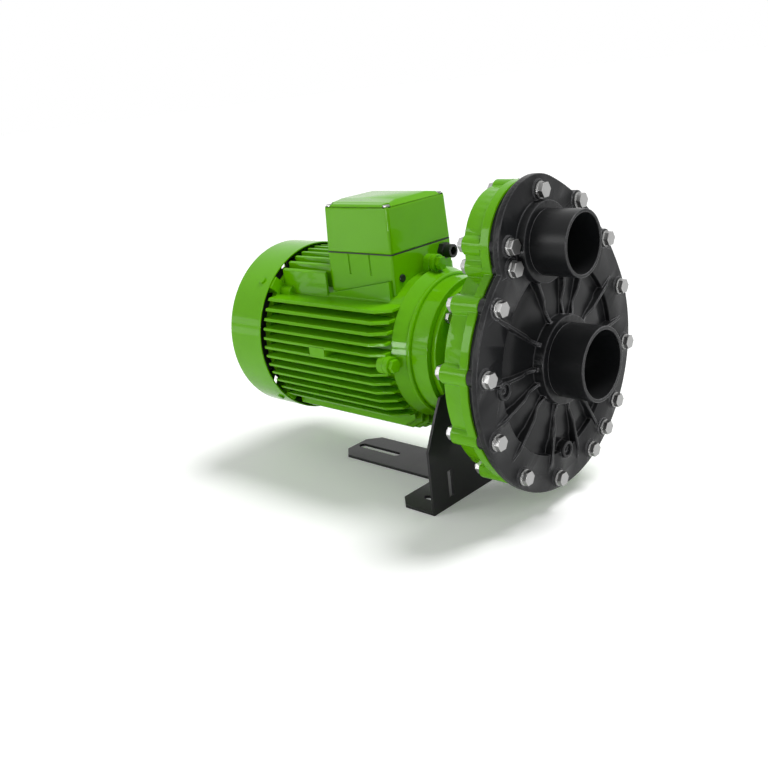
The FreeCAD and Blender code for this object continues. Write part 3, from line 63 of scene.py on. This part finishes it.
def placeCamera(choice):
    # forward = (-sin a cos e, cos a cos e, -sin e), then right and up turned about it by the roll
    azimuth, elevation, roll = (math.radians(choice[key]) for key in ("azimuth", "elevation", "roll"))
    forward = Vector((-math.sin(azimuth) * math.cos(elevation),
                      math.cos(azimuth) * math.cos(elevation), -math.sin(elevation)))
    right = forward.cross(Vector((0, 0, 1))).normalized()
    above = right.cross(forward)
    turnedRight = right * math.cos(roll) - above * math.sin(roll)
    turnedUp = above * math.cos(roll) + right * math.sin(roll)
    data = bpy.data.cameras.new("productCamera")
    data.lens = choice["lens"]
    data.sensor_width = choice["sensor"]
    camera = newObject("productCamera", data)
    turn = Matrix((turnedRight, turnedUp, -forward)).transposed().to_4x4()
    camera.matrix_world = Matrix.Translation(choice["place"]) @ turn
    bpy.context.scene.camera = camera


placeCamera(cameraSet)
bpy.context.scene.view_settings.view_transform = "Standard"
print("camera placed")

# shader groups used by several finishes
grainSet = {"slowScale": 26.0, "slowDetail": 4.0, "middle": 0.5}
wearAndHighlightSet = {"samples": 4, "patchScale": 140.0, "patchGain": 6.0}
dustSet = {"power": 2.0, "patchScale": 60.0, "patchDetail": 5.0}


def newGroup(name, inputs, outputs):
    # a node group with one number socket for each input and each output
    group = bpy.data.node_groups.new(name, "ShaderNodeTree")
    for label, value in inputs:
        socket = group.interface.new_socket(label, in_out="INPUT", socket_type="NodeSocketFloat")
        socket.default_value = value
    for label in outputs:
        group.interface.new_socket(label, in_out="OUTPUT", socket_type="NodeSocketFloat")
    return group, group.nodes.new("NodeGroupInput"), group.nodes.new("NodeGroupOutput")


def mathNode(tree, operation, first, second=None, clamp=False):
    # result = first (operation) second, held between 0 and 1 where clamp is set
    node = tree.nodes.new("ShaderNodeMath")
    node.operation = operation
    node.use_clamp = clamp
    for socket, value in zip(node.inputs, (first, second)):
        if value is None:
            continue
        if isinstance(value, (int, float)):
            socket.default_value = value
        else:
            tree.links.new(value, socket)
    return node.outputs[0]


def objectNoise(tree, scale, detail=3.0):
    # value = noise of the place on the object times the scale
    place = tree.nodes.new("ShaderNodeTexCoord")
    noise = tree.nodes.new("ShaderNodeTexNoise")
    noise.inputs["Detail"].default_value = detail
    tree.links.new(place.outputs["Object"], noise.inputs["Vector"])
    if isinstance(scale, (int, float)):
        noise.inputs["Scale"].default_value = scale
    else:
        tree.links.new(scale, noise.inputs["Scale"])
    return noise.outputs["Fac"]


def makeGrainGroup(choice):
    # height = (noise at the scale - its middle) x depth, and tone = a slow noise
    group, given, result = newGroup("fine grain", (("Scale", 900.0), ("Depth", 1.0)), ("Height", "Tone"))
    coarse = objectNoise(group, given.outputs["Scale"])
    slow = objectNoise(group, choice["slowScale"], choice["slowDetail"])
    centred = mathNode(group, "SUBTRACT", coarse, choice["middle"])
    height = mathNode(group, "MULTIPLY", centred, given.outputs["Depth"])
    group.links.new(height, result.inputs["Height"])
    group.links.new(slow, result.inputs["Tone"])
    return group


def makeWearAndHighlightGroup(choice):
    # edge = (1 - rounded normal . true normal) x a patchy noise x amount; it marks wear and, on the black
    # casing, a painted highlight on lit edges
    group, given, result = newGroup("edge wear and painted highlight", (("Radius", 0.0012), ("Amount", 1.0)), ("Edge",))
    bevel = group.nodes.new("ShaderNodeBevel")
    bevel.samples = choice["samples"]
    group.links.new(given.outputs["Radius"], bevel.inputs["Radius"])
    geometry = group.nodes.new("ShaderNodeNewGeometry")
    facing = group.nodes.new("ShaderNodeVectorMath")
    facing.operation = "DOT_PRODUCT"
    group.links.new(bevel.outputs["Normal"], facing.inputs[0])
    group.links.new(geometry.outputs["Normal"], facing.inputs[1])
    edge = mathNode(group, "SUBTRACT", 1.0, facing.outputs["Value"], clamp=True)
    patches = mathNode(group, "MULTIPLY", objectNoise(group, choice["patchScale"]), choice["patchGain"])
    broken = mathNode(group, "MULTIPLY", edge, patches)
    wornAndLitEdge = mathNode(group, "MULTIPLY", broken, given.outputs["Amount"], clamp=True)
    group.links.new(wornAndLitEdge, result.inputs["Edge"])
    return group


def makeDustGroup(choice):
    # dust = upward share of the normal to a power x a patchy noise x amount
    group, given, result = newGroup("settled dust", (("Amount", 0.2),), ("Mask",))
    geometry = group.nodes.new("ShaderNodeNewGeometry")
    parts = group.nodes.new("ShaderNodeSeparateXYZ")
    group.links.new(geometry.outputs["Normal"], parts.inputs[0])
    upward = mathNode(group, "MAXIMUM", parts.outputs["Z"], 0.0)
    settled = mathNode(group, "POWER", upward, choice["power"])
    patches = objectNoise(group, choice["patchScale"], choice["patchDetail"])
    patchy = mathNode(group, "MULTIPLY", settled, patches)
    mask = mathNode(group, "MULTIPLY", patchy, given.outputs["Amount"], clamp=True)
    group.links.new(mask, result.inputs["Mask"])
    return group


grainGroup = makeGrainGroup(grainSet)
wearAndHighlightGroup = makeWearAndHighlightGroup(wearAndHighlightSet)
dustGroup = makeDustGroup(dustSet)
print("shader groups made")

# finishes: colour, second colour for worn edges, which on the black casing is a painted highlight on lit
# edges, and how the surface shines
usualFinish = {"metallic": 0.0, "coat": 0.0, "coatIor": 1.5, "ior": 1.45, "soften": 1.0,
               "grainScale": 900.0, "grainDepth": 0.2, "wearAndHighlight": 0.2, "dust": 0.0}
finishes = {
    "motor_green": {"colour": (0.128, 0.425, 0.0), "wornAndLitEdge": (0.22, 0.56, 0.03), "roughness": 0.22,
                    "coat": 0.5, "coatIor": 1.3, "ior": 1.12, "grainScale": 420.0, "grainDepth": 0.05,
                    "dust": 0.02},
    # the black casing's pale edge colour at a strong amount is a painted highlight on the lit rims of the
    # pipe mouths and ribs
    "casing_black": {"colour": (0.0085, 0.009, 0.0098), "wornAndLitEdge": (0.30, 0.30, 0.31), "roughness": 0.30,
                     "ior": 1.27, "grainDepth": 0.3, "wearAndHighlight": 2.0, "dust": 0.02},
    "foot_black": {"colour": (0.010, 0.010, 0.011), "wornAndLitEdge": (0.16, 0.16, 0.16), "roughness": 0.36,
                   "coat": 0.1, "ior": 1.3, "grainScale": 700.0, "wearAndHighlight": 0.5, "dust": 0.04},
    "zinc_steel": {"colour": (0.40, 0.40, 0.395), "wornAndLitEdge": (0.66, 0.66, 0.65), "roughness": 0.38,
                   "metallic": 1.0, "grainScale": 1500.0, "grainDepth": 0.12, "wearAndHighlight": 0.5, "dust": 0.03},
    "shaft_steel": {"colour": (0.55, 0.55, 0.54), "wornAndLitEdge": (0.75, 0.75, 0.75), "roughness": 0.22,
                    "metallic": 1.0, "grainScale": 2000.0, "grainDepth": 0.05},
    "bearing_steel": {"colour": (0.56, 0.56, 0.57), "wornAndLitEdge": (0.7, 0.7, 0.7), "roughness": 0.18,
                      "metallic": 1.0, "grainScale": 2000.0, "grainDepth": 0.03},
    "core_steel": {"colour": (0.30, 0.30, 0.31), "wornAndLitEdge": (0.5, 0.5, 0.5), "roughness": 0.42,
                   "metallic": 1.0, "grainScale": 1200.0},
    "cast_aluminium": {"colour": (0.62, 0.62, 0.63), "wornAndLitEdge": (0.8, 0.8, 0.8), "roughness": 0.45,
                       "metallic": 1.0, "grainScale": 600.0, "grainDepth": 0.4},
    "winding_copper": {"colour": (0.52, 0.20, 0.06), "wornAndLitEdge": (0.7, 0.3, 0.1), "roughness": 0.35,
                       "metallic": 1.0, "coat": 0.3, "grainScale": 300.0, "grainDepth": 0.8},
    "stud_brass": {"colour": (0.66, 0.48, 0.17), "wornAndLitEdge": (0.85, 0.68, 0.3), "roughness": 0.28,
                   "metallic": 1.0, "grainScale": 1500.0, "grainDepth": 0.1},
    "black_rubber": {"colour": (0.020, 0.020, 0.020), "wornAndLitEdge": (0.05, 0.05, 0.05), "roughness": 0.62,
                     "grainScale": 800.0, "grainDepth": 0.3, "dust": 0.1},
    "ring_plastic": {"colour": (0.06, 0.062, 0.066), "wornAndLitEdge": (0.15, 0.15, 0.15), "roughness": 0.45},
    "fan_plastic": {"colour": (0.04, 0.04, 0.042), "wornAndLitEdge": (0.1, 0.1, 0.1), "roughness": 0.5,
                    "dust": 0.1},
    "fitting_black": {"colour": (0.012, 0.012, 0.013), "wornAndLitEdge": (0.08, 0.08, 0.08), "roughness": 0.42,
                      "grainDepth": 0.15, "wearAndHighlight": 0.3, "dust": 0.05},
    "block_plastic": {"colour": (0.16, 0.05, 0.025), "wornAndLitEdge": (0.3, 0.12, 0.08), "roughness": 0.3,
                      "coat": 0.2},
    "seat_ceramic": {"colour": (0.78, 0.76, 0.70), "wornAndLitEdge": (0.85, 0.84, 0.8), "roughness": 0.2,
                     "coat": 0.4},
    "seal_carbon": {"colour": (0.03, 0.03, 0.033), "wornAndLitEdge": (0.08, 0.08, 0.08), "roughness": 0.3,
                    "grainScale": 1500.0},
}
# what all finishes share: darker patches, dust, span of the roughness, grain and edges in metres
surface = {"patchShade": 0.86, "dustColour": (0.42, 0.41, 0.38), "roughnessSpan": 0.12,
           "coatRoughness": 0.05, "grainReach": 0.0004, "wearAndHighlightRadius": 0.0012, "softSamples": 4}


def mixColour(tree, share, first, second):
    # colour = first x (1 - share) + second x share
    node = tree.nodes.new("ShaderNodeMix")
    node.data_type = "RGBA"
    tree.links.new(share, node.inputs["Factor"])
    for socket, value in ((node.inputs["A"], first), (node.inputs["B"], second)):
        if isinstance(value, tuple):
            socket.default_value = (*value, 1.0)
        else:
            tree.links.new(value, socket)
    return node.outputs["Result"]


def groupNode(tree, group, **values):
    # one of the shader groups with its own values
    node = tree.nodes.new("ShaderNodeGroup")
    node.node_tree = group
    for name, value in values.items():
        node.inputs[name].default_value = value
    return node


def makeFinish(name, look):
    # colour = paint, darker in patches, then lighter at edges as wear and, on the black casing, as a
    # painted highlight, then dusty on top
    # roughness = its middle value + (tone - a half) x its span
    material = bpy.data.materials.new(name)
    material.use_nodes = True
    tree = material.node_tree
    shader = tree.nodes["Principled BSDF"]
    grain = groupNode(tree, grainGroup, Scale=look["grainScale"], Depth=look["grainDepth"])
    wearAndHighlight = groupNode(tree, wearAndHighlightGroup, Radius=surface["wearAndHighlightRadius"], Amount=look["wearAndHighlight"])
    dust = groupNode(tree, dustGroup, Amount=look["dust"])
    deeper = tuple(part * surface["patchShade"] for part in look["colour"])
    base = mixColour(tree, grain.outputs["Tone"], look["colour"], deeper)
    wornAndLitEdge = mixColour(tree, wearAndHighlight.outputs["Edge"], base, look["wornAndLitEdge"])
    dusty = mixColour(tree, dust.outputs["Mask"], wornAndLitEdge, surface["dustColour"])
    tree.links.new(dusty, shader.inputs["Base Color"])
    toneShift = mathNode(tree, "MULTIPLY", grain.outputs["Tone"], surface["roughnessSpan"])
    roughness = mathNode(tree, "ADD", toneShift, look["roughness"] - surface["roughnessSpan"] / 2)
    tree.links.new(roughness, shader.inputs["Roughness"])
    shader.inputs["Metallic"].default_value = look["metallic"]
    shader.inputs["IOR"].default_value = look["ior"]
    shader.inputs["Coat Weight"].default_value = look["coat"]
    shader.inputs["Coat Roughness"].default_value = surface["coatRoughness"]
    shader.inputs["Coat IOR"].default_value = look["coatIor"]
    softer = tree.nodes.new("ShaderNodeBevel")
    softer.samples = surface["softSamples"]
    softer.inputs["Radius"].default_value = look["soften"] * millimetre
    bump = tree.nodes.new("ShaderNodeBump")
    bump.inputs["Distance"].default_value = surface["grainReach"]
    tree.links.new(grain.outputs["Height"], bump.inputs["Height"])
    tree.links.new(softer.outputs["Normal"], bump.inputs["Normal"])
    tree.links.new(bump.outputs["Normal"], shader.inputs["Normal"])
    return material


materials = {name: makeFinish(name, {**usualFinish, **look}) for name, look in finishes.items()}
print("finishes made")

# edge rounding of each solid in millimetres
edgeRounding = {
    "front_casing": 1.0, "rear_casing": 1.1, "suction_pipe": 0.8, "outlet_pipe": 0.8, "lantern": 1.0,
    "drive_end_shield": 1.1, "motor_housing": 0.7, "tail_shield": 0.8, "fan_cowl": 0.6,
    "terminal_box": 0.5, "terminal_lid": 1.6, "lid_gasket": 0.2, "foot_bracket": 0.6,
    "drain_plugs": 0.5, "cable_gland": 0.4, "entry_plug": 0.5, "impeller": 0.3, "impeller_nut": 0.4,
    "pump_shaft": 0.3, "slinger_ring": 0.4, "cooling_fan": 0.4, "casing_bolts": 0.2, "casing_nuts": 0.5,
    "shield_bolts": 0.6, "lantern_screws": 0.4, "flange_screws": 0.5, "foot_screws": 0.5,
    "cowl_screws": 0.4, "lid_screws": 0.4, "tail_screws": 0.4,
}
# upright corners of the terminal box in millimetres, rounded before its edges
cornerRounding = {"terminal_box": 4.0, "lid_gasket": 4.0, "terminal_lid": 4.0}
# faces with many holes stay triangles, because one flat face round them would tear
keptTriangles = ("front_casing", "cooling_fan")
# how the rounding is made, in millimetres, degrees and steps
rounding = {"merge": 0.002, "flatAngle": 0.4, "sharpAngle": 30.0, "steps": 2, "cornerSteps": 5,
            "uprightShare": 0.9}


def finishPiece(piece, node):
    # the node's finish, body and slot
    piece.data.materials.clear()
    piece.data.materials.append(materials[slotOf[node]])
    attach(piece, bodyOf[node])


def mergedCopy(node):
    # the solid's mesh with doubled vertices joined and, unless it keeps its triangles, flat faces whole
    work = bmesh.new()
    work.from_mesh(frame["nodes"][node].data)
    bmesh.ops.remove_doubles(work, verts=work.verts, dist=rounding["merge"] * millimetre)
    if node not in keptTriangles:
        flat = math.radians(rounding["flatAngle"])
        bmesh.ops.dissolve_limit(work, angle_limit=flat, verts=work.verts, edges=work.edges)
    return work


def markCorners(work, corner):
    # weight = 1 where an edge is upright and its middle is in a corner of the box, within the rounding
    weights = work.edges.layers.float.new("bevel_weight_edge")
    spread = np.array([vert.co[:] for vert in work.verts])
    middle = (spread.max(axis=0) + spread.min(axis=0)) / 2
    reach = (spread.max(axis=0) - spread.min(axis=0)) / 2 - corner * millimetre
    for edge in work.edges:
        first, second = (vert.co for vert in edge.verts)
        out = np.abs(np.array((first + second) / 2) - middle)
        upright = abs(first.z - second.z) > rounding["uprightShare"] * (first - second).length
        edge[weights] = float(upright and out[0] > reach[0] and out[1] > reach[1])


def addBevel(piece, width, steps, method):
    # a round of the given width along the chosen edges, drawn in the given steps
    bevel = piece.modifiers.new("soft edges", "BEVEL")
    bevel.width = width * millimetre
    bevel.segments = steps
    bevel.limit_method = method
    bevel.angle_limit = math.radians(rounding["sharpAngle"])
    bevel.use_clamp_overlap = False
    bevel.harden_normals = True


def roundedPiece(node, width, corner=0.0):
    # edges past the sharp angle are rounded by width, upright corner edges of a box first by corner
    work = mergedCopy(node)
    if corner:
        markCorners(work, corner)
    mesh = bpy.data.meshes.new(node + "Rounded")
    work.to_mesh(mesh)
    work.free()
    mesh.shade_smooth()
    mesh.set_sharp_from_angle(angle=math.radians(rounding["sharpAngle"]))
    piece = newObject(node + "Rounded", mesh)
    if corner:
        addBevel(piece, corner, rounding["cornerSteps"], "WEIGHT")
    addBevel(piece, width, rounding["steps"], "ANGLE")
    finishPiece(piece, node)
    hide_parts(node)


for node in frame["nodes"]:
    if node in edgeRounding:
        roundedPiece(node, edgeRounding[node], cornerRounding.get(node, 0.0))
    else:
        frame["nodes"][node].data.materials.clear()
        frame["nodes"][node].data.materials.append(materials[slotOf[node]])
print("solids dressed")

# the round bead on the motor's end shield, in millimetres
shieldBead = {"node": "drive_end_shield", "station": -7.0, "height": 190.0, "radius": 92.0,
              "tube": 3.4, "around": 160, "across": 20}


def makeBead(name, bead):
    # point = station + tube cos v along the shaft, and radius + tube sin v out from it at the turn u
    turns = np.linspace(0, 2 * math.pi, bead["around"], endpoint=False)
    bends = np.linspace(0, 2 * math.pi, bead["across"], endpoint=False)
    turn, bend = (grid.ravel() for grid in np.meshgrid(turns, bends, indexing="ij"))
    station = bead["station"] + bead["tube"] * np.cos(bend)
    reach = bead["radius"] + bead["tube"] * np.sin(bend)
    height = bead["height"] + reach * np.sin(turn)
    points = np.stack((station, reach * np.cos(turn), height), axis=1) * millimetre
    index = np.arange(len(points)).reshape(bead["around"], bead["across"])
    ahead = np.roll(index, -1, axis=0)
    beside = np.roll(index, -1, axis=1)
    across = np.roll(ahead, -1, axis=1)
    faces = np.stack((index, ahead, across, beside), axis=-1).reshape(-1, 4)
    mesh = bpy.data.meshes.new(name)
    mesh.from_pydata(points.tolist(), [], faces.tolist())
    mesh.shade_smooth()
    finishPiece(newObject(name, mesh), bead["node"])


makeBead("shieldBead", shieldBead)
print("bead made")

# floor, backdrop and lights
studio = {"floorSize": 60.0, "floorDrop": 0.0003, "floorColour": 0.95, "floorGlow": 0.14, "skyLevel": 0.30}
windows = {
    "left": {"centre": (-1.65, -1.45, 0.34), "width": 1.0, "height": 0.60, "rows": 2, "columns": 2,
             "bar": 0.09, "glow": 3.0},
    "right": {"centre": (0.15, -1.95, 0.36), "width": 0.9, "height": 0.66, "rows": 2, "columns": 3,
              "bar": 0.08, "glow": 26.0},
}
lamps = {
    "key": {"kind": "SUN", "place": (0.55, 0.8, 2.2), "size": math.radians(26), "power": 2.7},
    "window": {"kind": "AREA", "place": (-0.9, -1.5, 0.9), "size": 0.6, "power": 7.0},
    "front": {"kind": "AREA", "place": (1.5, -0.6, 1.4), "size": 0.5, "power": 4.0},
}
lampAim = (-0.05, 0.0, 0.19)


def seenRays(tree):
    # 1 for camera, mirror and glass rays, 0 for the others
    path = tree.nodes.new("ShaderNodeLightPath")
    straight = mathNode(tree, "MAXIMUM", path.outputs["Is Camera Ray"], path.outputs["Is Glossy Ray"])
    return mathNode(tree, "MAXIMUM", straight, path.outputs["Is Transmission Ray"])


def glowingFinish(name, grey):
    # a grey surface that also gives off white light
    material = bpy.data.materials.new(name)
    material.use_nodes = True
    tree = material.node_tree
    shader = tree.nodes["Principled BSDF"]
    shader.inputs["Base Color"].default_value = (grey, grey, grey, 1.0)
    shader.inputs["Emission Color"].default_value = (1, 1, 1, 1)
    return material, tree, shader


def makeFloor(choice):
    # brightness = a diffuse share that takes the shadow + a steady glow for camera, mirror and glass rays
    half = choice["floorSize"] / 2
    low = -choice["floorDrop"]
    mesh = bpy.data.meshes.new("studioFloor")
    corners = [(-half, -half, low), (half, -half, low), (half, half, low), (-half, half, low)]
    mesh.from_pydata(corners, [], [(0, 1, 2, 3)])
    material, tree, shader = glowingFinish("studioFloor", choice["floorColour"])
    shader.inputs["Roughness"].default_value = 1.0
    shader.inputs["Specular IOR Level"].default_value = 0.0
    glow = mathNode(tree, "MULTIPLY", seenRays(tree), choice["floorGlow"])
    tree.links.new(glow, shader.inputs["Emission Strength"])
    mesh.materials.append(material)
    newObject("studioFloor", mesh)


def makeWindow(name, choice):
    # rows x columns of panes with bars between, facing the object and seen by mirror rays only
    # corner = middle + u across + v above
    wide = choice["width"] / choice["columns"]
    tall = choice["height"] / choice["rows"]
    middle = Vector(choice["centre"])
    forward = (Vector(lampAim) - middle).normalized()
    across = forward.cross(Vector((0, 0, 1))).normalized()
    above = across.cross(forward)
    corners = []
    for row in range(choice["rows"]):
        for column in range(choice["columns"]):
            left = (column - choice["columns"] / 2) * wide
            low = (row - choice["rows"] / 2) * tall
            right = left + wide - choice["bar"]
            top = low + tall - choice["bar"]
            pane = ((left, low), (right, low), (right, top), (left, top))
            corners += [middle + across * u + above * v for u, v in pane]
    mesh = bpy.data.meshes.new(name)
    mesh.from_pydata(corners, [], [tuple(range(first, first + 4)) for first in range(0, len(corners), 4)])
    material, tree, shader = glowingFinish(name, 0.0)
    path = tree.nodes.new("ShaderNodeLightPath")
    glow = mathNode(tree, "MULTIPLY", path.outputs["Is Glossy Ray"], choice["glow"])
    tree.links.new(glow, shader.inputs["Emission Strength"])
    mesh.materials.append(material)
    panes = newObject(name, mesh)
    panes.visible_camera = False
    panes.visible_diffuse = False
    panes.visible_shadow = False
    panes.visible_transmission = False


def makeSky(choice):
    # strength = studio level + (1 - studio level) for the rays that show the background
    world = bpy.data.worlds.new("studioSky")
    bpy.context.scene.world = world
    world.use_nodes = True
    tree = world.node_tree
    background = tree.nodes["Background"]
    background.inputs["Color"].default_value = (1, 1, 1, 1)
    span = mathNode(tree, "MULTIPLY", seenRays(tree), 1.0 - choice["skyLevel"])
    strength = mathNode(tree, "ADD", span, choice["skyLevel"])
    tree.links.new(strength, background.inputs["Strength"])


def addLamp(name, choice, aim):
    # a sun or a square lamp whose own down direction points from its place to the aim
    data = bpy.data.lights.new(name, choice["kind"])
    data.energy = choice["power"]
    if choice["kind"] == "SUN":
        data.angle = choice["size"]
    else:
        data.shape = "SQUARE"
        data.size = choice["size"]
    lamp = newObject(name, data)
    lamp.location = choice["place"]
    lamp.visible_glossy = choice["kind"] != "SUN"
    lamp.rotation_euler = (Vector(aim) - Vector(choice["place"])).to_track_quat("-Z", "Y").to_euler()


makeFloor(studio)
for name, choice in windows.items():
    makeWindow(name + "Window", choice)
makeSky(studio)
for name, choice in lamps.items():
    addLamp(name, choice, lampAim)
print("studio set")
